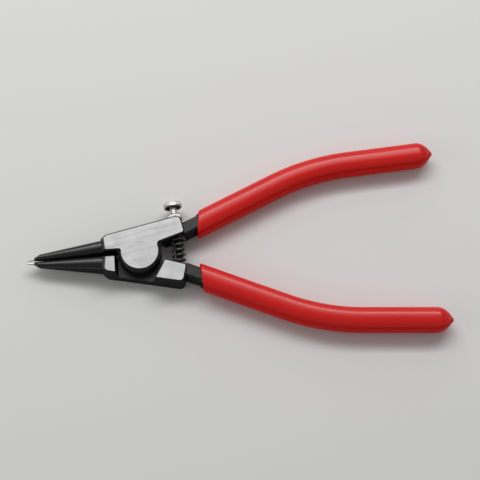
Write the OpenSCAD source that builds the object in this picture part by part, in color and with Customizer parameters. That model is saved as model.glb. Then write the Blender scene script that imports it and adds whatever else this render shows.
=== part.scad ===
// Circlip pliers for external rings, straight tips, with an adjustable opening stop.
// Millimetres. X runs to the handles, Y to the upper handle, Z up out of the front face.
// The origin is on the pivot axis, in the plane that the pliers lie on.
// The lower half is the upper half turned over about X.

/* [Body] */
// Thickness of the closed joint, from face to face
body_t = 9; // [8.5:0.1:9.5]
// Distance from the pivot to the shoulder where the jaw starts
shoulder_x = 12.85; // [12.5:0.05:13.2]
// Height of the outer edge at the shoulder
shoulder_y = 6.2; // [6:0.1:6.5]
// Lean of the shoulder from square, in degrees
shoulder_lean = 6; // [4:0.5:8]
// Slope of the outer edge, in degrees
outer_slope = 12.2; // [11:0.1:13]
// Distance from the pivot to the outer corner at the handle end
corner_x = 14.1; // [13.8:0.1:14.6]
// Width of the body across its handle end
end_w = 6.6; // [6.2:0.1:7]
// Lean of the handle end from square, in degrees
end_lean = 13.2; // [11:0.1:15]
// Slope of the inner edge on the handle side, in degrees
inner_slope = 18.2; // [17:0.1:20]
// Gap between the two bodies ahead of the joint
front_gap = 1.7; // [1.4:0.1:2]
// Chamfer along the edges of the body
edge_c = 0.5; // [0.3:0.05:0.6]
// Length of the chamfer at the shoulder, where the jaw starts
front_c = 1.05; // [0.8:0.05:1.2]
// Radius of the body's outer corner at the handle end
corner_r = 1.8; // [1.3:0.1:2]

/* [Joint] */
// Radius of the joint disc
disc_r = 7.2; // [6.8:0.1:7.3]
// Chamfer around the disc's ground face
disc_c = 1; // [0.6:0.1:1.2]
// Radius that fills the corner between disc and body on the handle side
rear_fill = 1.3; // [0.8:0.1:1.6]
// Radius that fills the corner between disc and body on the jaw side
front_fill = 0.9; // [0.5:0.1:1.1]
// Distance from the pivot to the front shoulder of the lap recess
lap_front = 8.5; // [8.4:0.1:9]
// Distance from the pivot to the rear shoulder of the lap recess
lap_rear = 9.2; // [9:0.1:9.6]
// Turn of the rear shoulder, in degrees
lap_turn = 30.5; // [27:0.5:34]
// Draft of the two shoulders over the recess depth
lap_draft = 1; // [0.6:0.1:1]
// Running gap between the two lap faces
lap_gap = 0.06; // [0.04:0.01:0.12]
// Diameter of the rivet's shank
rivet_d = 5; // [4.5:0.1:5.2]
// Diameter of the rivet's flush heads
rivet_head_d = 6.4; // [6.2:0.1:7]
// Running clearance between rivet and upper half, on the radius
rivet_play = 0.04; // [0.02:0.01:0.08]

/* [Jaws] */
// Distance from the pivot to the end of the jaw's taper
jaw_len = 33.6; // [30:0.1:36]
// Width of the jaw at its root
jaw_w = 4.95; // [4.7:0.05:5.1]
// Depth of the jaw at its root
jaw_h = 7.8; // [7.4:0.1:7.9]
// Corner radius of the jaw's root
jaw_r = 2.1; // [1.7:0.1:2.2]
// Diameter of the jaw's nose
nose_d = 2.3; // [2:0.1:2.6]
// Length of the bevel ahead of the nose
nose_len = 1.9; // [1.4:0.1:2.4]
// Gap between the jaws at their roots
jaw_gap = 0.5; // [0.4:0.05:0.8]
// Gap between the noses and between the tips, closed
tip_gap = 0.2; // [0.18:0.01:0.3]
// Diameter of the tip pins
tip_d = 0.84; // [0.7:0.02:0.9]
// Reach of the tips ahead of the nose
tip_out = 4.03; // [3:0.01:5]
// Depth of the tip pins in the jaws
tip_in = 3.6; // [3:0.1:5]
// Lean of each tip pin to the centre line, in degrees
tip_lean = 4.9; // [3:0.1:5.5]

/* [Handles] */
// Distance from the pivot to the handle's root
root_x = 15.5; // [15.3:0.1:15.8]
// Height of the handle's centre line at its root
root_y = 7.3; // [7.1:0.01:7.6]
// Slope of the handle before its bend, in degrees
handle_slope = 24.2; // [23:0.1:25.5]
// Slope of the handle behind its bend, in degrees
end_slope = 4; // [3:0.05:6]
// Length from the root to the bend
root_len = 48.03; // [46:0.01:52]
// Length from the bend to the handle's end
end_len = 43.17; // [40:0.01:50]
// Radius of the bend
bend_r = 75; // [60:1:90]
// Width of the bare neck
neck_w = 4.3; // [4:0.1:4.6]
// Depth of the bare neck
neck_h = 7.6; // [7.2:0.1:7.8]
// Width of the handle core inside the grip
core_w = 5; // [4.6:0.1:5.4]
// Depth of the handle core inside the grip
core_h = 6.6; // [6:0.1:7]
// Distance from the pivot to the dip line of the grips
dip_x = 20; // [19.5:0.1:22]
// Width of the grips
grip_w = 8.2; // [7.6:0.1:9]
// Squareness of the grips' section, where 2 is an ellipse
grip_n = 2.6; // [2.2:0.1:3]
// Length of the grips' rounded end
grip_nose = 5.6; // [5:0.1:6.5]

/* [Opening stop] */
// Diameter of the stop screw
screw_d = 2.5; // [2.4:0.05:2.5]
// Where the screw's axis crosses the centre line
screw_x = 13.15; // [13:0.01:13.2]
// Lean of the screw's axis, in degrees
screw_lean = 4.5; // [4:0.1:5]
// Reach of the screw's end below the centre line
screw_reach = 3; // [2:0.1:3.2]
// Underside of the thumb head, along the screw's axis
head_at = 15.9; // [15.5:0.05:17.5]
// Diameter of the thumb head
head_d = 6.2; // [5.6:0.1:6.6]
// Height of the thumb head
head_h = 1.85; // [1.5:0.05:2.1]
// Foot of the lock nut, along the screw's axis
nut_at = 11.35; // [11.2:0.01:11.4]
// Diameter of the lock nut
nut_d = 5.4; // [5:0.1:5.6]
// Height of the lock nut
nut_h = 2; // [1.6:0.1:2.2]
// Running clearance of the screw's thread, on the radius
screw_play = 0.03; // [0.02:0.01:0.06]

/* [Spring] */
// Distance from the pivot to the spring's axis
spring_x = 13.08; // [12.95:0.01:13.2]
// Outer diameter of the spring
spring_d = 5; // [4.8:0.1:5.1]
// Diameter of the spring's wire
wire_d = 0.65; // [0.5:0.01:0.65]
// Open turns of the spring
open_turns = 5; // [4:0.5:6]
// Closed turns at each end of the spring
closed_turns = 1; // [1:0.25:1.25]
// Distance from the centre line to each spring seat
seat_y = 5.7; // [5.6:0.05:5.9]
// Clearance around the spring in its seats, on the radius
seat_play = 0.25; // [0.2:0.05:0.3]

/* [Hidden] */
$fn = 64;
hull_fn = 32;
// room that cutters run past the faces they cut
over = 1;
// gap between a pressed or dipped piece and its seat
set_gap = 0.02;
// gap under the spring's ends and under the lock nut
rest_gap = 0.03;
mid = body_t / 2;
lap_z = mid + lap_gap / 2;

function unit(v) = v / norm(v);
function right_of(v) = [v.y, -v.x];
function turn(a) = [cos(a), sin(a)];

// outline points moved inward by d, for an outline that runs clockwise
function inset(pts, d) = [
    for (i = [0 : len(pts) - 1])
        let (
            n = len(pts),
            n0 = right_of(unit(pts[i] - pts[(i + n - 1) % n])),
            n1 = right_of(unit(pts[(i + 1) % n] - pts[i]))
        )
        pts[i] + d * (n0 + n1) / (1 + n0 * n1)
];

// arc of radius r that replaces the corner b between a and c
function corner_arc(a, b, c, r, steps) =
    let (
        d0 = unit(a - b),
        d1 = unit(c - b),
        half = acos(d0 * d1) / 2,
        m = b + unit(d0 + d1) * r / sin(half),
        s = b + d0 * r / tan(half) - m,
        e = b + d1 * r / tan(half) - m,
        from = atan2(s.y, s.x),
        sweep = (atan2(e.y, e.x) - from + 540) % 360 - 180
    )
    [for (k = [0 : steps]) m + r * turn(from + sweep * k / steps)];

function rounded(pts, radii, steps = 4) = [
    for (i = [0 : len(pts) - 1])
        let (n = len(pts))
        each corner_arc(pts[(i + n - 1) % n], pts[i], pts[(i + 1) % n], radii[i], steps)
];

// plan of the upper body, clockwise from the inner corner at the jaw, with its front where given
shoulder_cx = 1.7;
shoulder_cy = 1.15;
small_r = edge_c + 0.2;
shoulder_low = shoulder_y - shoulder_cy;
shoulder_top = shoulder_y + shoulder_cx * tan(outer_slope);
outer_end = [corner_x, shoulder_y + (corner_x + shoulder_x) * tan(outer_slope)];
inner_end = outer_end + end_w * [sin(end_lean), -cos(end_lean)];
inner_root = [inner_end.x - (inner_end.y - front_gap / 2) / tan(inner_slope), front_gap / 2];
function plate(front) =
    let (
        high = shoulder_low + (shoulder_x - front) * (shoulder_top - shoulder_low) / shoulder_cx,
        low = front_gap / 2
    )
    [
        [(high - low) * tan(shoulder_lean) - front, low],
        [-front, high],
        [shoulder_cx - shoulder_x, shoulder_top],
        outer_end,
        inner_end,
        inner_root
    ];
// front of the plan that gives the ground face, once inset
face_x = shoulder_x - front_c + edge_c;
plate_r = [small_r, small_r, small_r, corner_r, 0.65 * corner_r, small_r];

// corner filled with radius f between a disc of radius r and a straight edge: the edge runs along d,
// its outside is along n, and c is its distance from the pivot along n
sink = 0.1;
function fill_corner(n, d, c, r, f, steps = 6) =
    let (
        m = (c + f) * n + sqrt(pow(r + f, 2) - pow(c + f, 2)) * d,
        corner = c * n + sqrt(r * r - c * c) * d,
        from = atan2(-n.y, -n.x),
        sweep = (atan2(-m.y, -m.x) - from + 540) % 360 - 180
    )
    concat(
        [m - (f + sink) * n],
        [for (k = [1 : steps - 1]) m + f * turn(from + sweep * k / steps)],
        [unit(m) * (r - sink), corner + unit(corner - m)]
    );

// handle path in the plan, by the distance along it from the root
bend = handle_slope - end_slope;
tangent = bend_r * tan(bend / 2);
root = [root_x, root_y];
bend_from = root_len - tangent;
bend_to = bend_from + bend_r * bend * PI / 180;
path_end = bend_to + end_len - tangent;
bend_start = root + bend_from * turn(handle_slope);
bend_mid = bend_start - bend_r * turn(handle_slope + 90);
core_end = path_end - grip_nose - 1;
bend_steps = 8;

function heading(s) =
    handle_slope - bend * max(0, min(1, (s - bend_from) / (bend_to - bend_from)));

function path(s) =
    s < bend_from ? root + s * turn(handle_slope)
    : bend_mid + bend_r * turn(heading(s) + 90) + max(0, s - bend_to) * turn(end_slope);

function bend_stops() = [for (k = [0 : bend_steps]) bend_from + (bend_to - bend_from) * k / bend_steps];

// outline of a strip of width w along the path
function strip(from, to, w) =
    let (stops = concat([from], bend_stops(), [to]), last = len(stops) - 1)
    concat(
        [for (s = stops) path(s) + w / 2 * turn(heading(s) + 90)],
        [for (i = [last : -1 : 0]) path(stops[i]) - w / 2 * turn(heading(stops[i]) + 90)]
    );

// the neck's section runs this far into the grip
neck_in = 1.6;
neck_c = 0.6;

// jaw and tip lines
nose_y = (nose_d + tip_gap) / 2;
tip_end = [-jaw_len - tip_out, (tip_d + tip_gap) / 2];
tip_dir = turn(-tip_lean);
tip_len = (tip_out + tip_in) / cos(tip_lean);
bevel_x = jaw_len + nose_len;
bevel_y = tip_end.y + (tip_end.x + bevel_x) * tan(-tip_lean);
bevel_d = tip_d + 0.2;

// rivet
rivet_head_h = (rivet_head_d - rivet_d) / 2;

// stop screw
screw_c = 0.3;
head_bore = head_h - 0.4;
head_rim = 0.5;
head_cup = 0.4;
face_d = nut_d + 0.5;

// spring
spring_r = (spring_d - wire_d) / 2;
spring_turns = open_turns + 2 * closed_turns;
spring_low = rest_gap + wire_d / 2 - seat_y;
closed_pitch = wire_d * 1.04;
open_pitch = (2 * -spring_low - 2 * closed_turns * closed_pitch) / open_turns;

function spring_y(turns) =
    spring_low
    + closed_pitch * (min(turns, closed_turns) + max(0, turns - closed_turns - open_turns))
    + open_pitch * max(0, min(turns - closed_turns, open_turns));

// a piece of the upper half, turned over about X to the lower half
module turned_over() {
    translate([0, 0, body_t]) rotate([180, 0, 0]) children();
}

// turns X into the screw's axis
module on_screw(at) {
    translate([screw_x, 0, mid]) rotate([0, 0, 90 + screw_lean]) translate([at, 0, 0]) children();
}

// cylinder along X from 0 to h
module bar(d, h) {
    rotate([0, 90, 0]) cylinder(d = d, h = h);
}

// bar with both ends chamfered
module stub(d, h, c0, c1) {
    r = d / 2;
    rotate([0, 90, 0]) rotate_extrude()
        polygon([[0, 0], [r - c0, 0], [r, c0], [r, h - c1], [r - c1, h], [0, h]]);
}

// section with chamfered corners
module bevelled(w, h, c) {
    polygon([
        [-w / 2 + c, -h / 2], [w / 2 - c, -h / 2], [w / 2, -h / 2 + c], [w / 2, h / 2 - c],
        [w / 2 - c, h / 2], [-w / 2 + c, h / 2], [-w / 2, h / 2 - c], [-w / 2, -h / 2 + c]
    ]);
}

// section with round corners
module softened(w, h, r) {
    square([w - 2 * r, h], center = true);
    square([w, h - 2 * r], center = true);
    for (x = [-1, 1], y = [-1, 1]) translate([x * (w / 2 - r), y * (h / 2 - r)]) circle(r);
}

// section run along the handle's first straight, between two distances from the root
module first_run(from, to) {
    translate([root.x, root.y, mid]) rotate([0, 0, handle_slope]) translate([from, 0, 0])
        rotate([90, 0, 90]) linear_extrude(to - from) children();
}

// neck and core of one handle, grown by a gap for the grip's cavity
module handle_core(gap) {
    neck_to = (dip_x - root_x) / cos(handle_slope) + neck_in;
    first_run(-1, neck_to + gap) bevelled(neck_w + 2 * gap, neck_h + 2 * gap, neck_c);
    translate([0, 0, mid - core_h / 2 - gap]) linear_extrude(core_h + 2 * gap)
        polygon(strip(neck_to - over, core_end + gap, core_w + 2 * gap));
}

// solid body with chamfered edges
module plate_body() {
    hull() {
        translate([0, 0, edge_c]) linear_extrude(body_t - 2 * edge_c) polygon(rounded(plate(shoulder_x), plate_r));
        linear_extrude(body_t)
            polygon(rounded(inset(plate(face_x), edge_c), [for (r = plate_r) r - edge_c]));
    }
}

// joint disc, left long below the lap face for the recess to cut
module joint_disc() {
    low = lap_z - over;
    rotate_extrude()
        polygon([[0, low], [disc_r, low], [disc_r, body_t - disc_c], [disc_r - disc_c, body_t], [0, body_t]]);
}

// fills between disc and body, at the flanks and, drawn in by the chamfers, up to the ground face
module disc_fills() {
    back = turn(inner_slope - 90);
    rear = [back, turn(inner_slope), inner_end * back, rear_fill];
    front = [[0, -1], [-1, 0], -front_gap / 2, front_fill];
    for (side = [rear, front]) {
        translate([0, 0, lap_z - over]) linear_extrude(mid + over - disc_c - lap_gap / 2)
            polygon(fill_corner(side[0], side[1], side[2], disc_r, side[3]));
        translate([0, 0, body_t - disc_c - over]) linear_extrude(disc_c + over)
            polygon(fill_corner(side[0], side[1], side[2] - edge_c, disc_r - disc_c, side[3]));
    }
}

// space for the other half's disc, between two drafted shoulders
module lap_recess() {
    lean = lap_draft / lap_z;
    far = 40;
    intersection() {
        rotate([90, 0, 0]) linear_extrude(2 * far, center = true)
            polygon([[-lap_front - lean * over, -over], [far, -over], [far, lap_z], [lap_draft - lap_front, lap_z]]);
        rotate([0, 0, lap_turn]) rotate([90, 0, 0]) linear_extrude(2 * far, center = true)
            polygon([[-far, -over], [lap_rear + lean * over, -over], [lap_rear - lap_draft, lap_z], [-far, lap_z]]);
    }
}

// tapering jaw with a bevelled nose
module jaw() {
    thin = 0.2;
    root_in = 0.8;
    hull() {
        translate([-shoulder_x - thin, jaw_gap / 2 + jaw_w / 2, mid]) rotate([90, 0, 90])
            linear_extrude(thin + root_in) softened(jaw_w, jaw_h, jaw_r, $fn = hull_fn);
        translate([-jaw_len, nose_y, mid]) bar(nose_d, thin, $fn = hull_fn);
    }
    hull() {
        translate([-jaw_len, nose_y, mid]) bar(nose_d, thin, $fn = hull_fn);
        translate([-bevel_x, bevel_y, mid]) bar(bevel_d, thin, $fn = hull_fn);
    }
}

// tip pin, grown by a gap for its bore
module tip_pin(gap) {
    translate([tip_end.x, tip_end.y, mid]) rotate([0, 0, tip_lean])
        stub(tip_d + 2 * gap, tip_len + gap, gap > 0 ? 0 : 0.1, 0);
}

// rivet, grown by a gap for its bore
module rivet_shape(gap) {
    r = rivet_d / 2 + gap;
    head = rivet_head_d / 2 + gap;
    rotate_extrude() polygon([
        [0, 0], [head, 0], [r, rivet_head_h], [r, body_t - rivet_head_h], [head, body_t], [0, body_t]
    ]);
}

// one forged half in the upper place, with its rivet hole cut to the gap given
module half(gap) {
    difference() {
        union() {
            difference() {
                union() {
                    plate_body();
                    joint_disc();
                    disc_fills();
                }
                lap_recess();
            }
            jaw();
            handle_core(0);
        }
        rivet_shape(gap);
        tip_pin(set_gap);
        translate([spring_x, seat_y, mid]) rotate([90, 0, 0])
            cylinder(d = spring_d + 2 * seat_play, h = seat_y);
    }
}

// rings of the dipped grip: distance along the path, size, and the lead of the dip line
lip = 0.5;
nub = 0.15;
cone_h = 1.9;
cone_k = 0.62;
dip_s = (dip_x - root_x) / cos(handle_slope);
grip_rings = [
    [dip_s, 0.86, 1],
    [dip_s + lip * 0.35, 0.96, 1],
    [dip_s + lip, 1, 1],
    for (s = bend_stops()) [s, 1, 0],
    [path_end - grip_nose, 1, 0],
    for (a = [0.2 : 0.2 : 1])
        [path_end - grip_nose + (grip_nose - cone_h) * a, 1 - (1 - cone_k) * a * a, 0],
    [path_end - 0.2, nub, 0],
    [path_end, nub * 0.6, 0]
];

// superellipse section
function bulge(v) = sign(v) * pow(abs(v), 2 / grip_n);

// dipped grip in the upper place, closed at its end and open at the dip line
module grip() {
    sides = 32;
    points = [
        for (ring = grip_rings, k = [0 : sides - 1])
            let (
                u = ring[1] * grip_w / 2 * bulge(cos(360 * k / sides)),
                v = ring[1] * body_t / 2 * bulge(sin(360 * k / sides)),
                s = ring[0] + ring[2] * u * tan(handle_slope),
                at = path(s) + u * turn(heading(s) + 90)
            )
            [at.x, at.y, mid + v]
    ];
    last = len(grip_rings) - 1;
    faces = [
        [for (k = [0 : sides - 1]) k],
        for (i = [0 : last - 1], k = [0 : sides - 1])
            let (a = i * sides + k, b = i * sides + (k + 1) % sides)
            each [[a, a + sides, b], [b, a + sides, b + sides]],
        [for (k = [sides - 1 : -1 : 0]) last * sides + k]
    ];
    difference() {
        polyhedron(points, faces);
        handle_core(set_gap);
    }
}

module lower_half() {
    color("#2b2d30") turned_over() half(set_gap / 2);
}

module upper_half() {
    color("#2b2d30") difference() {
        half(rivet_play);
        on_screw(0) bar(screw_d + 2 * screw_play, nut_at + over);
        on_screw(nut_at - rest_gap) bar(face_d, over + 1);
    }
}

module pivot_rivet() {
    color("#c3c1c3") rivet_shape(0);
}

module opening_spring() {
    steps = 20;
    sides = 8;
    rings = spring_turns * steps;
    points = [
        for (i = [0 : rings], k = [0 : sides - 1])
            let (
                out = spring_r + wire_d / 2 * cos(360 * k / sides),
                at = turn(360 * i / steps) * out
            )
            [spring_x + at.x, spring_y(i / steps) + wire_d / 2 * sin(360 * k / sides), mid + at.y]
    ];
    faces = [
        [for (k = [0 : sides - 1]) k],
        for (i = [0 : rings - 1], k = [0 : sides - 1])
            let (a = i * sides + k, b = i * sides + (k + 1) % sides)
            each [[a, a + sides, b], [b, a + sides, b + sides]],
        [for (k = [sides - 1 : -1 : 0]) rings * sides + k]
    ];
    color("#1c1c1e") polyhedron(points, faces);
}

module stop_screw() {
    color("#d0d0ce") on_screw(-screw_reach)
        stub(screw_d, screw_reach + head_at + head_bore, screw_c, screw_c);
}

module thumb_head() {
    color("#d8d8d6") difference() {
        on_screw(head_at) stub(head_d, head_h, 0.1, 0.45);
        on_screw(head_at - over) bar(head_d - 2 * head_rim, over + head_cup);
        on_screw(head_at - over) bar(screw_d + 2 * screw_play, over + head_bore + screw_play);
    }
}

module lock_nut() {
    color("#d8d8d6") difference() {
        on_screw(nut_at) stub(nut_d, nut_h, 0.2, 0.25);
        on_screw(nut_at - over) bar(screw_d + 2 * screw_play, nut_h + 2 * over);
    }
}

module upper_grip() {
    color("#c8140f") grip();
}

module lower_grip() {
    color("#c8140f") turned_over() grip();
}

module upper_tip() {
    color("#d2d2d0") tip_pin(0);
}

module lower_tip() {
    color("#d2d2d0") turned_over() tip_pin(0);
}

lower_half();
upper_half();
pivot_rivet();
opening_spring();
stop_screw();
thumb_head();
lock_nut();
upper_grip();
lower_grip();
upper_tip();
lower_tip();
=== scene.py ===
import math
from functools import partial
import bmesh
import bpy
from mathutils import Matrix, Vector


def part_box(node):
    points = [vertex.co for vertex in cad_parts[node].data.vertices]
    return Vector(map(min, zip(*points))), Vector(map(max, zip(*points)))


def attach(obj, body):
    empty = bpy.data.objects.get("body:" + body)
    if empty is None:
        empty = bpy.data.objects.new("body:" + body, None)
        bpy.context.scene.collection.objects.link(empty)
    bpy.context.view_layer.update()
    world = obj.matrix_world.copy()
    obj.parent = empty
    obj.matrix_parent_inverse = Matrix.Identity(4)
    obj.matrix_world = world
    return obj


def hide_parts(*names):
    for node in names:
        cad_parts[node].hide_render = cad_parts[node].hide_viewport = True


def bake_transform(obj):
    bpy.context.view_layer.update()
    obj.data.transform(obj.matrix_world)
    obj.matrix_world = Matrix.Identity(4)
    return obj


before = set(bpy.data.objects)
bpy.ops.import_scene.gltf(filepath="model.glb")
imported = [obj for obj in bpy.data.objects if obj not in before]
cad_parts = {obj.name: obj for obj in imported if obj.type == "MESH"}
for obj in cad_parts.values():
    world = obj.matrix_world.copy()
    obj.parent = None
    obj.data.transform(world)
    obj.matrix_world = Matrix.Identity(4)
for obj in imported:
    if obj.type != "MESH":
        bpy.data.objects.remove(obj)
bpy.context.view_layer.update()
mm = 0.001
print("frame loaded:", len(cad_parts), "pieces")


# small helpers for nodes and meshes
def addNode(tree, kind, **values):
    node = tree.nodes.new(kind)
    for key, value in values.items():
        setattr(node, key, value)
    return node


def setInputs(node, values):
    for label, value in values.items():
        node.inputs[label].default_value = value


def putMesh(name, mesh):
    obj = bpy.data.objects.new(name, mesh)
    bpy.context.scene.collection.objects.link(obj)
    return obj


def meshFrom(bm, name):
    mesh = bpy.data.meshes.new(name)
    bm.to_mesh(mesh)
    bm.free()
    return mesh


def bridge(bm, first, second):
    # a row of faces between two closed loops, or between a loop and a single point
    count = max(len(first), len(second))
    for k in range(count):
        n = (k + 1) % count
        corners = (first[k % len(first)], first[n % len(first)],
                   second[n % len(second)], second[k % len(second)])
        bm.faces.new(list(dict.fromkeys(corners)))


def paintMesh(mesh, main, other, takesOther):
    # the other finish goes on the faces that the test picks
    for finish in (main, other):
        mesh.materials.append(finish)
    for part in mesh.polygons:
        part.material_index = 1 if takesOther(part) else 0


def smoothByAngle(mesh, degrees):
    mesh.polygons.foreach_set("use_smooth", [True] * len(mesh.polygons))
    bm = bmesh.new()
    bm.from_mesh(mesh)
    for edge in bm.edges:
        if len(edge.link_faces) == 2:
            edge.smooth = edge.calc_face_angle(0) < math.radians(degrees)
    bm.to_mesh(mesh)
    bm.free()


def applyModifiers(obj):
    deps = bpy.context.evaluated_depsgraph_get()
    mesh = bpy.data.meshes.new_from_object(obj.evaluated_get(deps))
    obj.modifiers.clear()
    obj.data = mesh


def direction(degrees):
    return Vector((math.cos(math.radians(degrees)), math.sin(math.radians(degrees))))


# node groups that several finishes share
def startGroup(name, inputs, outputs):
    group = bpy.data.node_groups.new(name, "ShaderNodeTree")
    for label, value in inputs.items():
        socket = group.interface.new_socket(name=label, in_out="INPUT", socket_type="NodeSocketFloat")
        socket.default_value = value
    for label in outputs:
        group.interface.new_socket(name=label, in_out="OUTPUT", socket_type="NodeSocketFloat")
    return group, addNode(group, "NodeGroupInput"), addNode(group, "NodeGroupOutput")


def makeGrainGroup():
    # fine speckle plus slow clouds, for forged, dipped and plated skins
    sizes = {"Grain Size": 4000.0, "Cloud Size": 160.0, "Cloud Share": 0.5}
    group, groupIn, groupOut = startGroup("skinGrain", sizes, ("Speckle", "Clouds", "Mixed"))
    link = group.links.new
    coords = addNode(group, "ShaderNodeTexCoord")
    fine = addNode(group, "ShaderNodeTexNoise")
    slow = addNode(group, "ShaderNodeTexNoise")
    for noise, size, detail in ((fine, "Grain Size", 3), (slow, "Cloud Size", 4)):
        setInputs(noise, {"Detail": detail})
        link(coords.outputs["Object"], noise.inputs["Vector"])
        link(groupIn.outputs[size], noise.inputs["Scale"])
    mix = addNode(group, "ShaderNodeMix", data_type="FLOAT")
    link(groupIn.outputs["Cloud Share"], mix.inputs["Factor"])
    link(fine.outputs["Fac"], mix.inputs["A"])
    link(slow.outputs["Fac"], mix.inputs["B"])
    link(fine.outputs["Fac"], groupOut.inputs["Speckle"])
    link(slow.outputs["Fac"], groupOut.inputs["Clouds"])
    link(mix.outputs["Result"], groupOut.inputs["Mixed"])
    return group


def makeBeltGroup():
    # long thin scratches left by a grinding belt, and slower bands along them
    sizes = {"Turn": 0.0, "Along": 120.0, "Across": 5200.0}
    group, groupIn, groupOut = startGroup("beltLines", sizes, ("Lines", "Bands"))
    link = group.links.new
    coords = addNode(group, "ShaderNodeTexCoord")
    turnTo = addNode(group, "ShaderNodeVectorRotate", rotation_type="Z_AXIS")
    size = addNode(group, "ShaderNodeCombineXYZ")
    stretch = addNode(group, "ShaderNodeVectorMath", operation="MULTIPLY")
    link(coords.outputs["Object"], turnTo.inputs["Vector"])
    link(groupIn.outputs["Turn"], turnTo.inputs["Angle"])
    for label, axis in (("Along", "X"), ("Across", "Y"), ("Across", "Z")):
        link(groupIn.outputs[label], size.inputs[axis])
    link(turnTo.outputs["Vector"], stretch.inputs[0])
    link(size.outputs["Vector"], stretch.inputs[1])
    for label, scale, detail in (("Lines", 1.0, 4), ("Bands", 0.18, 2)):
        noise = addNode(group, "ShaderNodeTexNoise")
        setInputs(noise, {"Scale": scale, "Detail": detail})
        link(stretch.outputs["Vector"], noise.inputs["Vector"])
        link(noise.outputs["Fac"], groupOut.inputs[label])
    return group


skinGrain = makeGrainGroup()
beltLines = makeBeltGroup()


# finishes
def startFinish(name, metallic=0.0, specular=0.5, coat=0.0, coatRough=0.2):
    finish = bpy.data.materials.new(name)
    finish.use_nodes = True
    tree = finish.node_tree
    shader = tree.nodes["Principled BSDF"]
    setInputs(shader, {"Metallic": metallic, "Specular IOR Level": specular,
                       "Coat Weight": coat, "Coat Roughness": coatRough})
    return finish, tree, shader


def twoTone(tree, factor, dark, light, low=0.3, high=0.7):
    ramp = addNode(tree, "ShaderNodeValToRGB")
    for stop, position, colour in zip(ramp.color_ramp.elements, (low, high), (dark, light)):
        stop.position = position
        stop.color = (*colour, 1)
    tree.links.new(factor, ramp.inputs["Fac"])
    return ramp.outputs["Color"]


def spread(tree, factor, low, high):
    # noise keeps mostly between a quarter and three quarters
    mapped = addNode(tree, "ShaderNodeMapRange")
    setInputs(mapped, {"From Min": 0.25, "From Max": 0.75, "To Min": low, "To Max": high})
    tree.links.new(factor, mapped.inputs["Value"])
    return mapped.outputs["Result"]


def addBump(tree, shader, height, strength, distance):
    bump = addNode(tree, "ShaderNodeBump")
    setInputs(bump, {"Strength": strength, "Distance": distance})
    tree.links.new(height, bump.inputs["Height"])
    tree.links.new(bump.outputs["Normal"], shader.inputs["Normal"])


def skinFinish(name, dark, light, rough, grain, clouds, bump, **shine):
    finish, tree, shader = startFinish(name, **shine)
    skin = addNode(tree, "ShaderNodeGroup", node_tree=skinGrain)
    setInputs(skin, {"Grain Size": grain, "Cloud Size": clouds})
    tree.links.new(twoTone(tree, skin.outputs["Mixed"], dark, light), shader.inputs["Base Color"])
    tree.links.new(spread(tree, skin.outputs["Clouds"], *rough), shader.inputs["Roughness"])
    addBump(tree, shader, skin.outputs["Speckle"], *bump)
    return finish


beltLook = {"smudgeSize": 220, "smudgeShare": 0.45, "darkBelow": 0.34, "lightAbove": 0.66}


def brushedFinish(name, dark, light, metallic, rough, turned, along, across, bump):
    finish, tree, shader = startFinish(name, metallic)
    belt = addNode(tree, "ShaderNodeGroup", node_tree=beltLines)
    setInputs(belt, {"Turn": math.radians(turned), "Along": along, "Across": across})
    skin = addNode(tree, "ShaderNodeGroup", node_tree=skinGrain)
    setInputs(skin, {"Cloud Size": beltLook["smudgeSize"]})
    mix = addNode(tree, "ShaderNodeMix", data_type="FLOAT")
    setInputs(mix, {"Factor": beltLook["smudgeShare"]})
    tree.links.new(belt.outputs["Lines"], mix.inputs["A"])
    tree.links.new(skin.outputs["Clouds"], mix.inputs["B"])
    colour = twoTone(tree, mix.outputs["Result"], dark, light, beltLook["darkBelow"], beltLook["lightAbove"])
    tree.links.new(colour, shader.inputs["Base Color"])
    tree.links.new(spread(tree, belt.outputs["Bands"], *rough), shader.inputs["Roughness"])
    addBump(tree, shader, belt.outputs["Lines"], *bump)
    return finish


# rough is the range of roughness, bump is strength and depth
# grain, clouds, along and across are counts to a metre
plateSteel = {"metallic": 0.68, "rough": (0.40, 0.52), "along": 130, "across": 5200,
              "bump": (0.10, 0.03 * mm)}
groundSteelUpper = brushedFinish("groundSteelUpper", dark=(0.37, 0.365, 0.37), light=(0.53, 0.525, 0.53),
                                 turned=-12, **plateSteel)
groundSteelLower = brushedFinish("groundSteelLower", dark=(0.38, 0.375, 0.38), light=(0.54, 0.535, 0.54),
                                 turned=12, **plateSteel)
tipSteel = brushedFinish("tipSteel", dark=(0.58, 0.57, 0.55), light=(0.78, 0.77, 0.75), metallic=1.0,
                         rough=(0.22, 0.34), turned=0, along=400, across=9000, bump=(0.08, 0.01 * mm))

blackSkin = {"grain": 6500, "clouds": 240}
deepBlack = {"dark": (0.005, 0.0053, 0.006), "light": (0.009, 0.0095, 0.0105), **blackSkin}
blackForging = skinFinish("blackForging", dark=(0.0065, 0.0068, 0.0078), light=(0.0125, 0.013, 0.0145),
                          rough=(0.28, 0.40), bump=(0.22, 0.02 * mm), specular=0.40, **blackSkin)
# painted shade: upright walls get a darker, duller copy of the black forging, so they show little reflection
# of the pale floor
paintedShadeFlank = skinFinish("paintedShadeFlank", rough=(0.40, 0.50), bump=(0.22, 0.02 * mm), specular=0.05, **deepBlack)
jawBlack = skinFinish("jawBlack", rough=(0.17, 0.23), bump=(0.06, 0.02 * mm), specular=0.55, **deepBlack)
wornEdge = skinFinish("wornEdge", dark=(0.020, 0.021, 0.024), light=(0.075, 0.076, 0.08), metallic=0.6,
                      rough=(0.28, 0.42), grain=5200, clouds=420, bump=(0.2, 0.02 * mm))

dipSkin = {"dark": (0.66, 0.0065, 0.0042), "light": (0.75, 0.0095, 0.0065),
           "grain": 1500, "clouds": 70, "bump": (0.04, 0.05 * mm)}
redDip = skinFinish("redDip", rough=(0.22, 0.28), specular=0.48, **dipSkin)
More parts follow.
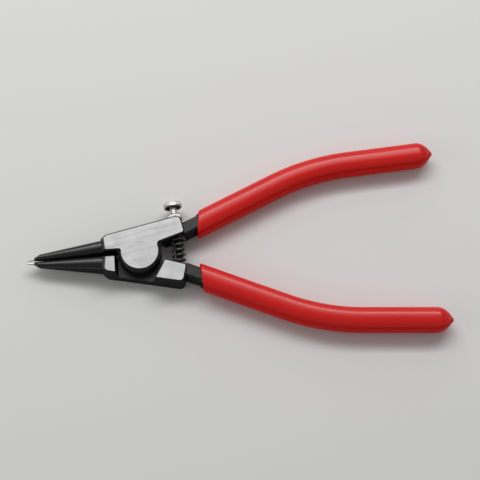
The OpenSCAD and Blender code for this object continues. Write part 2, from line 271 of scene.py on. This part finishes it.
# painted shade: the side faces get a duller copy of the red dip, so they show little reflection of the pale
# floor
paintedShadeRedSide = skinFinish("paintedShadeRedSide", rough=(0.30, 0.40), specular=0.05, **dipSkin)

plating = {"grain": 3500, "clouds": 300, "bump": (0.04, 0.02 * mm)}
brightNickel = skinFinish("brightNickel", dark=(0.55, 0.545, 0.53), light=(0.68, 0.675, 0.66), metallic=1.0,
                          rough=(0.36, 0.46), **plating)
# painted shade: a dark copy of the nickel for the hollow under the head
paintedShadeNickel = skinFinish("paintedShadeNickel", dark=(0.05, 0.049, 0.048), light=(0.09, 0.088, 0.085), metallic=1.0,
                        rough=(0.40, 0.52), **plating)
# painted shade: the stud's lower part, in among the spring, is darkened as shade
paintedShadeThread = skinFinish("paintedShadeThread", dark=(0.012, 0.012, 0.012), light=(0.03, 0.03, 0.029), metallic=0.5,
                         rough=(0.26, 0.36), **plating)
springBlack = skinFinish("springBlack", dark=(0.008, 0.008, 0.0085), light=(0.02, 0.02, 0.021),
                         rough=(0.12, 0.20), grain=6000, clouds=500, bump=(0.10, 0.01 * mm),
                         coat=1.0, specular=1.0)
print("finishes made")


# forged halves: merged copies of the CAD nodes with broken edges
halfLook = {
    "mergeWithin": 0.002 * mm,
    "flatWithin": 0.6,  # degrees between the triangles of one face
    "sharpFrom": 28,  # degrees between the faces of an edge that is broken
    "rivetReach": 3.6 * mm,  # edges this near to the axis stay sharp
    "edgeRound": 0.11 * mm,
    "edgeSteps": 2,
    "smoothBelow": 32,
    "faceWeight": 90,
    "groundBand": 0.02 * mm,
    "levelFrom": 0.99,  # share of the normal that points up or down
    # faces with less up or down in the normal than this take the painted shade of the walls
    "flankTilt": 0.4,
    "jawFrom": -12.88 * mm,
}


def halfPlace(part, top):
    # the kind of place on a forged half that a face belongs to
    height = part.calc_center_median().z
    level = abs(part.normal.z)
    outermost = height > top - halfLook["groundBand"] or height < halfLook["groundBand"]
    if outermost and level > halfLook["levelFrom"]:
        return "plate"
    # upright faces get the painted shade
    if level < halfLook["flankTilt"]:
        return "flank"
    return "jaw" if min(v.co.x for v in part.verts) < halfLook["jawFrom"] else "skin"


def dressHalf(node, body, ground):
    finishes = {"skin": blackForging, "plate": ground, "edge": wornEdge, "jaw": jawBlack,
                "flank": paintedShadeFlank}
    order = list(finishes)
    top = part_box(node)[1].z
    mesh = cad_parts[node].data.copy()
    mesh.materials.clear()
    for finish in finishes.values():
        mesh.materials.append(finish)
    bm = bmesh.new()
    bm.from_mesh(mesh)
    bmesh.ops.remove_doubles(bm, verts=bm.verts, dist=halfLook["mergeWithin"])
    bmesh.ops.dissolve_limit(bm, angle_limit=math.radians(halfLook["flatWithin"]), verts=bm.verts,
                             edges=bm.edges)
    weight = bm.edges.layers.float.new("bevel_weight_edge")
    for edge in bm.edges:
        sharp = len(edge.link_faces) == 2 and edge.calc_face_angle(0) > math.radians(halfLook["sharpFrom"])
        nearRivet = max(v.co.xy.length for v in edge.verts) < halfLook["rivetReach"]
        edge[weight] = 1.0 if sharp and not nearRivet else 0.0
    for part in bm.faces:
        part.material_index = order.index(halfPlace(part, top))
    bm.to_mesh(mesh)
    bm.free()
    piece = putMesh(node + "Forging", mesh)
    bevel = piece.modifiers.new("brokenEdges", "BEVEL")
    bevel.width = halfLook["edgeRound"]
    bevel.segments = halfLook["edgeSteps"]
    bevel.limit_method = "WEIGHT"
    bevel.material = order.index("edge")
    applyModifiers(piece)
    smoothByAngle(piece.data, halfLook["smoothBelow"])
    # large flat faces keep their own direction beside the small rounds
    flatten = piece.modifiers.new("flatFaces", "WEIGHTED_NORMAL")
    flatten.weight = halfLook["faceWeight"]
    flatten.keep_sharp = True
    applyModifiers(piece)
    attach(piece, body)
    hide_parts(node)


dressHalf("upper_half", "upper", groundSteelUpper)
dressHalf("lower_half", "lower", groundSteelLower)
print("halves dressed")


# dipped grips: one loft along the handle's bend, in millimetres and degrees
gripShape = {
    "root": Vector((15.5, 7.3)),
    "slope": 24.2,
    "endSlope": 4.0,
    "rootLength": 48.03,  # both lengths run to the corner that the bend rounds off
    "endLength": 43.17,
    "bendRadius": 75.0,
    "width": 8.2,
    "depth": 9.0,
    "squareness": 2.6,
    "sides": 64,
    "dipLine": 20.0,
    "dipLean": 1.25,  # 1 leaves the dip line square to the tool
    "mouth": ((0.9, 0.46, 0.72), (0.25, 0.60, 0.84), (0.04, 0.76, 0.88)),  # way in, width and depth share
    "lip": 0.75,
    "lipFrom": 0.02,
    "lipWidth": 0.86,  # shares of the full width and depth where the lip starts
    "lipDepth": 0.90,
    "lipSteps": 6,
    "bodyFrom": 3.4,
    "bodyRings": 96,
    "leanRings": 6,
    "nose": 5.6,
    "noseRings": 12,
    "cone": 1.9,
    "coneShare": 0.62,
    "coneRings": (0.25, 0.5, 0.75, 0.9),  # shares of the cone's length
    "nubShare": 0.15,
    "nubRound": 0.22,
    "nubRings": (0, 20, 40, 60, 80),
    "sideTilt": 0.62,  # below this share of up or down in the normal, a face takes the painted shade of the duller copy
    "smoothBelow": 50,
}


def gripStations():
    # distances along the handle where the bend starts and ends, and where the grip ends
    g = gripShape
    bend = math.radians(g["slope"] - g["endSlope"])
    tangent = g["bendRadius"] * math.tan(bend / 2)
    bendFrom = g["rootLength"] - tangent
    bendTo = bendFrom + g["bendRadius"] * bend
    return bendFrom, bendTo, bendTo + g["endLength"] - tangent


def gripPath(distance):
    # the point and the heading at a distance along the handle
    g = gripShape
    bendFrom, bendTo = gripStations()[:2]
    share = min(1, max(0, (distance - bendFrom) / (bendTo - bendFrom)))
    heading = g["slope"] - (g["slope"] - g["endSlope"]) * share
    if distance < bendFrom:
        return g["root"] + direction(g["slope"]) * distance, heading
    centre = g["root"] + direction(g["slope"]) * bendFrom - direction(g["slope"] + 90) * g["bendRadius"]
    onBend = centre + direction(heading + 90) * g["bendRadius"]
    return onBend + direction(g["endSlope"]) * max(0, distance - bendTo), heading


def gripRings():
    # distance along the handle, width share, depth share, how far the ring leans with the dip line
    g = gripShape
    end = gripStations()[-1]
    dip = (g["dipLine"] - g["root"].x) / math.cos(math.radians(g["slope"]))
    rings = [(dip + way, wide, deep, 1) for way, wide, deep in g["mouth"]]
    for step in range(g["lipSteps"] + 1):
        angle = math.pi / 2 * step / g["lipSteps"]
        wide = g["lipWidth"] + (1 - g["lipWidth"]) * math.sin(angle)
        deep = g["lipDepth"] + (1 - g["lipDepth"]) * math.sin(angle)
        rings.append((dip + g["lipFrom"] + g["lip"] * (1 - math.cos(angle)), wide, deep, 1))
    first = dip + g["lip"] + g["bodyFrom"]
    last = end - g["nose"]
    for step in range(g["bodyRings"] + 1):
        lead = max(0, 1 - step / g["leanRings"]) ** 2
        rings.append((first + (last - first) * step / g["bodyRings"], 1, 1, lead))
    for step in range(1, g["noseRings"] + 1):
        share = step / g["noseRings"]
        size = 1 - (1 - g["coneShare"]) * share ** 2
        rings.append((last + (g["nose"] - g["cone"]) * share, size, size, 0))
    for share in g["coneRings"]:
        size = g["coneShare"] + (g["nubShare"] - g["coneShare"]) * share
        rings.append((end - g["cone"] + (g["cone"] - g["nubRound"]) * share, size, size, 0))
    for degrees in g["nubRings"]:
        arc = direction(degrees)
        size = g["nubShare"] * arc.x
        rings.append((end - g["nubRound"] * (1 - arc.y), size, size, 0))
    return rings


def superCircle(angle, power):
    # between a circle, at power 2, and a square
    return [math.copysign(abs(reach) ** (2 / power), reach) for reach in (math.cos(angle), math.sin(angle))]


def makeGrip(name, body, node, side):
    g = gripShape
    bm = bmesh.new()
    loops = []
    for distance, wide, deep, lead in gripRings():
        loop = []
        for k in range(g["sides"]):
            across, upward = superCircle(2 * math.pi * k / g["sides"], g["squareness"])
            out = wide * g["width"] / 2 * across
            shift = lead * g["dipLean"] * out * math.tan(math.radians(g["slope"]))
            point, heading = gripPath(distance + shift)
            point = point + direction(heading + 90) * out
            height = g["depth"] / 2 * (1 + deep * upward)
            loop.append(bm.verts.new((point.x * mm, side * point.y * mm, height * mm)))
        loops.append(loop)
    for first, second in zip(loops, loops[1:]):
        bridge(bm, first, second)
    bm.faces.new(loops[0])
    bm.faces.new(loops[-1])
    bmesh.ops.recalc_face_normals(bm, faces=bm.faces)
    mesh = meshFrom(bm, name)
    # the grip's side faces take the painted shade
    paintMesh(mesh, redDip, paintedShadeRedSide, lambda part: abs(part.normal.z) < g["sideTilt"])
    smoothByAngle(mesh, g["smoothBelow"])
    piece = putMesh(name, mesh)
    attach(piece, body)
    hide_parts(node)


makeGrip("upperDip", "upper", "upper_grip", 1)
makeGrip("lowerDip", "lower", "lower_grip", -1)
print("grips lofted")


# helpers for the pieces that geometry nodes make
def startTree(name, sizes):
    tree = bpy.data.node_groups.new(name, "GeometryNodeTree")
    newSocket = tree.interface.new_socket
    sockets = {}
    for label, value in sizes.items():
        kind = "NodeSocketInt" if isinstance(value, int) else "NodeSocketFloat"
        sockets[label] = newSocket(name=label, in_out="INPUT", socket_type=kind)
    sockets["Finish"] = newSocket(name="Finish", in_out="INPUT", socket_type="NodeSocketMaterial")
    newSocket(name="Geometry", in_out="OUTPUT", socket_type="NodeSocketGeometry")
    return tree, sockets, addNode(tree, "NodeGroupInput").outputs


def endTree(tree, given, geometry):
    real = addNode(tree, "GeometryNodeRealizeInstances")
    paint = addNode(tree, "GeometryNodeSetMaterial")
    groupOut = addNode(tree, "NodeGroupOutput")
    tree.links.new(geometry, real.inputs["Geometry"])
    tree.links.new(real.outputs["Geometry"], paint.inputs["Geometry"])
    tree.links.new(given["Finish"], paint.inputs["Material"])
    tree.links.new(paint.outputs["Geometry"], groupOut.inputs["Geometry"])


def bakeTree(name, tree, sockets, sizes, finish):
    piece = putMesh(name, bpy.data.meshes.new(name))
    build = piece.modifiers.new("build", "NODES")
    build.node_group = tree
    for label, value in sizes.items():
        build[sockets[label].identifier] = value
    build[sockets["Finish"].identifier] = finish
    applyModifiers(piece)
    return piece


def mathNode(tree, operation, *values):
    node = addNode(tree, "ShaderNodeMath", operation=operation)
    for socket, value in zip(node.inputs, values):
        if isinstance(value, (int, float)):
            socket.default_value = value
        else:
            tree.links.new(value, socket)
    return node.outputs[0]


def upBy(tree, height):
    rise = addNode(tree, "ShaderNodeCombineXYZ")
    tree.links.new(height, rise.inputs["Z"])
    return rise.outputs["Vector"]


def sweptHelix(tree, turns, count, radius, height, profile):
    # a line of points wound round Z, then swept with a profile curve
    calc = partial(mathNode, tree)
    link = tree.links.new
    line = addNode(tree, "GeometryNodeCurvePrimitiveLine")
    many = addNode(tree, "GeometryNodeResampleCurve")
    link(line.outputs["Curve"], many.inputs["Curve"])
    link(count, many.inputs["Count"])
    share = addNode(tree, "GeometryNodeSplineParameter").outputs["Factor"]
    done = calc("MULTIPLY", share, turns)
    angle = calc("MULTIPLY", done, 2 * math.pi)
    reach = radius(share)
    place = addNode(tree, "ShaderNodeCombineXYZ")
    link(calc("MULTIPLY", calc("COSINE", angle), reach), place.inputs["X"])
    link(calc("MULTIPLY", calc("SINE", angle), reach), place.inputs["Y"])
    link(height(done), place.inputs["Z"])
    wind = addNode(tree, "GeometryNodeSetPosition")
    link(many.outputs["Curve"], wind.inputs["Geometry"])
    link(place.outputs["Vector"], wind.inputs["Position"])
    steady = addNode(tree, "GeometryNodeSetCurveNormal", mode="Z_UP")
    link(wind.outputs["Geometry"], steady.inputs["Curve"])
    sweep = addNode(tree, "GeometryNodeCurveToMesh")
    setInputs(sweep, {"Fill Caps": True})
    link(steady.outputs["Curve"], sweep.inputs["Curve"])
    link(profile, sweep.inputs["Profile Curve"])
    return sweep.outputs["Mesh"]


seamWithin = 0.0005 * mm


def settle(piece, place, smoothBelow):
    # puts the piece's place into its mesh and closes seams
    bm = bmesh.new()
    bm.from_mesh(piece.data)
    for vert in bm.verts:
        vert.co = place(vert.co)
    bmesh.ops.remove_doubles(bm, verts=bm.verts, dist=seamWithin)
    bmesh.ops.recalc_face_normals(bm, faces=bm.faces)
    bm.to_mesh(piece.data)
    bm.free()
    smoothByAngle(piece.data, smoothBelow)


# opening spring: round wire with a closed turn at each end
springSizes = {
    "Coil Radius": 2.175 * mm,
    "Wire Radius": 0.325 * mm,
    "Wire Sides": 14,
    "Open Turns": 5.0,
    "Closed Turns": 1.0,
    "Closed Pitch": 2.08,  # in wire radii, so the closed turns just clear each other
    "Length": 11.34 * mm,
    "Points": 420,
}
springPlace = {"x": 13.08 * mm, "z": 4.5 * mm, "bendReach": 4.9 * mm, "smoothBelow": 40}


def inSeats(point):
    # local Z runs from the lower seat to the upper one
    lowest = -springSizes["Length"] / 2 + springSizes["Wire Radius"]
    return Vector((springPlace["x"] + point.x, lowest + point.z, springPlace["z"] - point.y))


def makeSpring():
    tree, sockets, given = startTree("openingCoil", springSizes)
    calc = partial(mathNode, tree)
    wire = addNode(tree, "GeometryNodeCurvePrimitiveCircle")
    tree.links.new(given["Wire Sides"], wire.inputs["Resolution"])
    tree.links.new(given["Wire Radius"], wire.inputs["Radius"])
    bothEnds = calc("MULTIPLY", given["Closed Turns"], 2)
    turns = calc("ADD", given["Open Turns"], bothEnds)
    tight = calc("MULTIPLY", given["Wire Radius"], given["Closed Pitch"])
    rise = calc("SUBTRACT", given["Length"], calc("MULTIPLY", given["Wire Radius"], 2))
    pitch = calc("DIVIDE", calc("SUBTRACT", rise, calc("MULTIPLY", tight, bothEnds)), given["Open Turns"])

    def height(done):
        # slow over the closed turns at both ends, fast over the open ones between
        low = calc("MINIMUM", done, given["Closed Turns"])
        past = calc("SUBTRACT", done, given["Closed Turns"])
        between = calc("MINIMUM", calc("MAXIMUM", past, 0), given["Open Turns"])
        high = calc("MAXIMUM", calc("SUBTRACT", past, given["Open Turns"]), 0)
        slow = calc("MULTIPLY", tight, calc("ADD", low, high))
        return calc("ADD", slow, calc("MULTIPLY", pitch, between))

    coil = sweptHelix(tree, turns, given["Points"], lambda share: given["Coil Radius"], height,
                      wire.outputs["Curve"])
    endTree(tree, given, coil)
    piece = bakeTree("openingCoil", tree, sockets, springSizes, springBlack)
    settle(piece, inSeats, springPlace["smoothBelow"])
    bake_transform(piece)
    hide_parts("opening_spring")


makeSpring()
print("spring wound")


# stop screw: the place of stud, head and nut
screwPlace = {"x": 13.15 * mm, "z": 4.5 * mm, "lean": 4.5}


def onScrew(point):
    # local Z runs out along the screw
    out = direction(90 + screwPlace["lean"])
    side = direction(screwPlace["lean"])
    return Vector((screwPlace["x"] + out.x * point.z + side.x * point.x,
                   out.y * point.z + side.y * point.x, screwPlace["z"] - point.y))


def spunMesh(name, outline, sides):
    # outline of radius and height pairs, turned about Z
    bm = bmesh.new()
    loops = []
    for radius, height in outline:
        if radius == 0:
            loops.append([bm.verts.new((0, 0, height))])
            continue
        angles = [2 * math.pi * k / sides for k in range(sides)]
        loops.append([bm.verts.new((radius * math.cos(a), radius * math.sin(a), height)) for a in angles])
    for first, second in zip(loops, loops[1:]):
        bridge(bm, first, second)
    bmesh.ops.recalc_face_normals(bm, faces=bm.faces)
    return meshFrom(bm, name)


def joinMeshes(name, parts):
    bm = bmesh.new()
    for part in parts:
        bm.from_mesh(part)
    return meshFrom(bm, name)


threadSizes = {
    "Root Radius": 1.06 * mm,
    "Flank Height": 0.18 * mm,
    "Pitch": 0.45 * mm,
    "Ridge Share": 0.86,
    "Turns": 36.5,
    "From": -2.8 * mm,
    "Run Out": 0.03,  # share of the thread's length
    "Points": 940,
}
studShape = {
    "low": -3.0 * mm,
    "endBevel": 0.3 * mm,
    "neckFrom": 13.9 * mm,  # plain from here to the head
    "neckCone": 0.2 * mm,
    "radius": 1.25 * mm,
    "high": 17.3 * mm,
    "sides": 48,
    # the stud is painted dark as shade up to here
    "shadeTo": 9 * mm,
    "smoothBelow": 35,
}


def makeStud():
    tree, sockets, given = startTree("studThread", threadSizes)
    calc = partial(mathNode, tree)
    ridge = addNode(tree, "GeometryNodeCurvePrimitiveQuadrilateral", mode="KITE")
    tree.links.new(calc("MULTIPLY", given["Pitch"], given["Ridge Share"]), ridge.inputs["Width"])
    tree.links.new(given["Flank Height"], ridge.inputs["Bottom Height"])
    tree.links.new(given["Flank Height"], ridge.inputs["Top Height"])

    def radius(share):
        # the thread sinks into the core at both ends
        toEnd = calc("MINIMUM", share, calc("SUBTRACT", 1, share))
        full = calc("DIVIDE", calc("MINIMUM", toEnd, given["Run Out"]), given["Run Out"])
        sink = calc("MULTIPLY", calc("SUBTRACT", 1, full), given["Flank Height"])
        return calc("SUBTRACT", given["Root Radius"], sink)

    def height(done):
        return calc("ADD", calc("MULTIPLY", done, given["Pitch"]), given["From"])

    thread = sweptHelix(tree, given["Turns"], given["Points"], radius, height, ridge.outputs["Curve"])
    endTree(tree, given, thread)
    piece = bakeTree("stopStud", tree, sockets, threadSizes, brightNickel)
    s = studShape
    core = threadSizes["Root Radius"]
    outline = [(0, s["low"]), (core - s["endBevel"], s["low"]), (core, s["low"] + s["endBevel"]),
               (core, s["neckFrom"] - s["neckCone"]), (s["radius"], s["neckFrom"]),
               (s["radius"], s["high"]), (0, s["high"])]
    piece.data = joinMeshes("stopStud", [piece.data, spunMesh("studCore", outline, s["sides"])])
    # below this the stud takes the painted shade
    paintMesh(piece.data, brightNickel, paintedShadeThread, lambda part: part.center.z < s["shadeTo"])
    settle(piece, onScrew, s["smoothBelow"])
    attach(piece, "stop_stud")
    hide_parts("stop_screw")


makeStud()
print("stud threaded")


# knurled head and nut: outlines are radius and height pairs in millimetres
rimSizes = {"Rows": 7, "Edge Power": 6.0, "Edge Pull": 0.05}
turnedLook = {"sides": 80, "cupFacing": 0.2, "smoothBelow": 30}
headShape = {
    "teeth": {"Teeth": 44, "Outer": 3.10 * mm, "Inner": 3.00 * mm, "From": 16.28 * mm, "Tall": 1.02 * mm},
    "bore": 2.80 * mm,  # of the toothed band, inside the core's wall
    "cup": 2.64 * mm,
    "outline": ((0, 16.75), (2.42, 16.75), (2.56, 16.62), (2.62, 16.2), (2.7, 16.1), (2.95, 16.1),
                (3.03, 16.18), (3.03, 17.3), (2.96, 17.48), (2.8, 17.62), (2.55, 17.7), (2.2, 17.74),
                (1.5, 17.7), (0, 17.68)),
}
nutShape = {
    "teeth": {"Teeth": 36, "Outer": 2.70 * mm, "Inner": 2.58 * mm, "From": 11.62 * mm, "Tall": 1.4 * mm},
    "bore": 2.30 * mm,
    "cup": 0,  # none
    "outline": ((1.27, 11.6), (1.45, 11.36), (2.35, 11.36), (2.55, 11.5), (2.6, 11.7), (2.6, 12.95),
                (2.5, 13.18), (2.25, 13.32), (1.6, 13.33), (1.27, 13.1), (1.27, 11.6)),
}


def hollowBand(mesh, bore):
    # a bore takes the place of the band's caps, its only faces with more than four corners
    bm = bmesh.new()
    bm.from_mesh(mesh)
    caps = sorted((f for f in bm.faces if len(f.verts) > 4), key=lambda f: f.calc_center_median().z)
    rims = [sorted(cap.verts, key=lambda v: math.atan2(v.co.y, v.co.x)) for cap in caps]
    bores = [[bm.verts.new((*v.co.xy.normalized() * bore, v.co.z)) for v in rim] for rim in rims]
    bmesh.ops.delete(bm, geom=caps, context="FACES_ONLY")
    for first, second in ((rims[0], bores[0]), (bores[0], bores[1]), (bores[1], rims[1])):
        bridge(bm, first, second)
    bm.to_mesh(mesh)
    bm.free()


def toothedBand(name, sizes):
    # a star runs up the rim, pulled in a little at both edges
    tree, sockets, given = startTree(name + "Teeth", sizes)
    calc = partial(mathNode, tree)
    link = tree.links.new
    star = addNode(tree, "GeometryNodeCurveStar")
    link(given["Teeth"], star.inputs["Points"])
    link(given["Outer"], star.inputs["Outer Radius"])
    link(given["Inner"], star.inputs["Inner Radius"])
    axis = addNode(tree, "GeometryNodeCurvePrimitiveLine")
    link(upBy(tree, given["Tall"]), axis.inputs["End"])
    many = addNode(tree, "GeometryNodeResampleCurve")
    link(axis.outputs["Curve"], many.inputs["Curve"])
    link(given["Rows"], many.inputs["Count"])
    share = addNode(tree, "GeometryNodeSplineParameter").outputs["Factor"]
    edge = calc("ABSOLUTE", calc("SUBTRACT", calc("MULTIPLY", share, 2), 1))
    pull = calc("MULTIPLY", calc("POWER", edge, given["Edge Power"]), given["Edge Pull"])
    sweep = addNode(tree, "GeometryNodeCurveToMesh")
    setInputs(sweep, {"Fill Caps": True})
    link(many.outputs["Curve"], sweep.inputs["Curve"])
    link(star.outputs["Curve"], sweep.inputs["Profile Curve"])
    link(calc("SUBTRACT", 1, pull), sweep.inputs["Scale"])
    place = addNode(tree, "GeometryNodeTransform")
    link(sweep.outputs["Mesh"], place.inputs["Geometry"])
    link(upBy(tree, given["From"]), place.inputs["Translation"])
    endTree(tree, given, place.outputs["Geometry"])
    return bakeTree(name, tree, sockets, sizes, brightNickel)


def makeKnurled(name, shape, body, node):
    piece = toothedBand(name, {**shape["teeth"], **rimSizes})
    hollowBand(piece.data, shape["bore"])
    outline = [(radius * mm, height * mm) for radius, height in shape["outline"]]
    core = spunMesh(name + "Core", outline, turnedLook["sides"])
    piece.data = joinMeshes(name, [piece.data, core])

    # the hollow under the head is painted dark as its shade
    def inCup(part):
        return part.normal.z < turnedLook["cupFacing"] and part.center.xy.length < shape["cup"]

    paintMesh(piece.data, brightNickel, paintedShadeNickel, inCup)
    settle(piece, onScrew, turnedLook["smoothBelow"])
    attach(piece, body)
    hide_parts(node)


makeKnurled("knurledHead", headShape, "stop_head", "thumb_head")
makeKnurled("knurledNut", nutShape, "stop_nut", "lock_nut")
print("head and nut knurled")


# pieces kept from the CAD model, with their finish
for node, finish in (("pivot_rivet", groundSteelUpper), ("upper_tip", tipSteel), ("lower_tip", tipSteel)):
    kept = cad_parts[node]
    kept.data.materials.clear()
    kept.data.materials.append(finish)
print("rivet and tips painted")


# floor, light and camera
stageLook = {
    "floor": (0.80, 0.80, 0.79),
    "floorRough": 0.7,
    "floorGloss": 0.2,
    "floorDrop": 0.05 * mm,
    "reach": 3.0,
    "worldLight": 0.25,
    "aim": (0.033, 0.0, 0.004),
}
# one soft box that fades to the front: lean from upright in degrees, width and power of each row
softRows = {"far": 0.73, "long": 1.0, "rows": ((37, 0.07, 1.7), (30, 0.09, 1.3), (22, 0.12, 0.5))}
# place, size and power of the other lamps
plainPanels = {
    "backPanel": ((0.03, 0.75, 0.40), (1.2, 0.5), 0.8),
    "leftPanel": ((-0.5, -0.12, 0.30), (0.4, 0.3), 0.3),
}
cameraView = {
    "tilt": 19.798,
    "azimuth": -6.532,
    "roll": 2.402,
    "distance": 450 * mm,
    "target": Vector((33.815, 3.0, 4.5)) * mm,
    "focalPixels": 1332.68,
    "framePixels": 480,
    "sensor": 36,
    "nearest": 0.01,
}


def makeFloor():
    bm = bmesh.new()
    reach = stageLook["reach"]
    corners = ((-reach, -reach), (reach, -reach), (reach, reach), (-reach, reach))
    bm.faces.new([bm.verts.new((x, y, -stageLook["floorDrop"])) for x, y in corners])
    mesh = meshFrom(bm, "floor")
    finish, _, shader = startFinish("paleFloor", specular=stageLook["floorGloss"])
    setInputs(shader, {"Base Color": (*stageLook["floor"], 1), "Roughness": stageLook["floorRough"]})
    mesh.materials.append(finish)
    putMesh("floor", mesh)


def addPanel(name, at, size, power):
    data = bpy.data.lights.new(name, "AREA")
    data.shape = "RECTANGLE"
    data.size, data.size_y = size
    data.energy = power
    lamp = bpy.data.objects.new(name, data)
    lamp.location = at
    lamp.rotation_euler = (Vector(stageLook["aim"]) - Vector(at)).to_track_quat("-Z", "Y").to_euler()
    bpy.context.scene.collection.objects.link(lamp)


def makeLight():
    for lean, wide, power in softRows["rows"]:
        away = direction(90 - lean) * softRows["far"]
        addPanel("softRow%d" % lean, (stageLook["aim"][0], away.x, away.y), (softRows["long"], wide), power)
    for name, (at, size, power) in plainPanels.items():
        addPanel(name, at, size, power)
    world = bpy.data.worlds.new("softRoom")
    world.use_nodes = True
    glow = world.node_tree.nodes["Background"]
    setInputs(glow, {"Color": (1, 1, 1, 1), "Strength": stageLook["worldLight"]})
    bpy.context.scene.world = world


def makeCamera():
    c = cameraView
    tilt, azimuth, roll = (math.radians(c[k]) for k in ("tilt", "azimuth", "roll"))
    back = Vector((math.sin(azimuth) * math.sin(tilt), -math.cos(azimuth) * math.sin(tilt), math.cos(tilt)))
    level = Vector((math.cos(azimuth), math.sin(azimuth), 0))
    above = back.cross(level)
    right = level * math.cos(roll) + above * math.sin(roll)
    up = above * math.cos(roll) - level * math.sin(roll)
    data = bpy.data.cameras.new("photoCamera")
    data.sensor_width = c["sensor"]
    data.lens = c["focalPixels"] / c["framePixels"] * c["sensor"]
    data.clip_start = c["nearest"]
    camera = bpy.data.objects.new("photoCamera", data)
    stand = Matrix((right, up, back)).transposed().to_4x4()
    stand.translation = c["target"] + back * c["distance"]
    camera.matrix_world = stand
    bpy.context.scene.collection.objects.link(camera)
    bpy.context.scene.camera = camera


makeFloor()
makeLight()
makeCamera()
bpy.context.scene.view_settings.view_transform = "Standard"
print("stage set")
